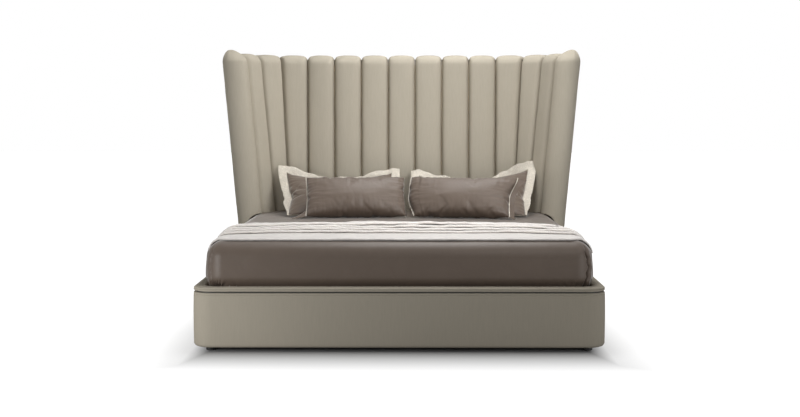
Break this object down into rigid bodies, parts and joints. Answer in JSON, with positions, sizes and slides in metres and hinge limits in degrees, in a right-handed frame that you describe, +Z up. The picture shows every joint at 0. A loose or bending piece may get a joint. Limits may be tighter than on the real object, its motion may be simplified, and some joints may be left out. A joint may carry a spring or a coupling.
{
  "type": "bed",
  "caption": "Double bed with a channelled, winged headboard on an upholstered box base, made up with mattress, satin sheet, folded throw, shams and lumbar pillows.",
  "frame": {"origin": "on the floor under the middle of the bed's bounding box", "axes": "+Z up, +Y from the foot end to the headboard, +X to the right of a viewer who stands at the foot end"},
  "size_m": [2.1172, 2.2002, 1.48],
  "materials": {
    "upholstery": "matt woven upholstery cloth with an upright slub",
    "timber": "planed softwood",
    "birch": "sanded birch plywood",
    "steel": "zinc plated",
    "black_plastic": "satin black",
    "base_cloth": "dark lining cloth over board",
    "mattress_cloth": "knitted ticking",
    "satin": "dark taupe satin with a soft sheen",
    "throw_cloth": "soft pale cloth",
    "sham_cloth": "crinkled cream cloth round a satin middle"
  },
  "bodies": {
    "root": {"foot_rail": "upholstery", "side_rail_left": "upholstery", "side_rail_right": "upholstery", "head_rail": "upholstery", "corner_blocks": "timber", "base_panel_left": "base_cloth", "base_panel_right": "base_cloth", "feet_front": "black_plastic", "feet_rear": "black_plastic", "shadow_strip_foot": "black_plastic", "shadow_strips": "black_plastic", "rim_bearers": "timber", "rim_foot": "upholstery", "rim_left": "upholstery", "rim_right": "upholstery", "rim_head": "upholstery", "slat_cleats": "timber", "centre_beam": "timber", "beam_hangers": "steel", "centre_legs": "steel", "slats_left": "birch", "slats_right": "birch", "slat_caps_outer": "black_plastic", "slat_caps_centre": "black_plastic", "headboard_panel": "birch", "headboard_stiles": "timber", "headboard_rails": "timber", "headboard_packers": "timber", "headboard_bolts": "steel", "headboard_back": "upholstery", "wing_core_left": "timber", "wing_core_right": "timber", "wing_cover_left": "upholstery", "wing_cover_right": "upholstery", "channel_01": "upholstery", "channel_02": "upholstery", "channel_03": "upholstery", "channel_04": "upholstery", "channel_05": "upholstery", "channel_06": "upholstery", "channel_07": "upholstery", "channel_08": "upholstery", "channel_09": "upholstery", "channel_10": "upholstery", "channel_11": "upholstery", "channel_12": "upholstery", "channel_13": "upholstery", "end_roll_left": "upholstery", "end_roll_right": "upholstery", "mattress": "mattress_cloth", "fitted_sheet": "satin", "throw": "throw_cloth", "sham_left": "sham_cloth", "sham_right": "sham_cloth", "lumbar_left": "satin", "lumbar_right": "satin"}
  },
  "joints": []
}
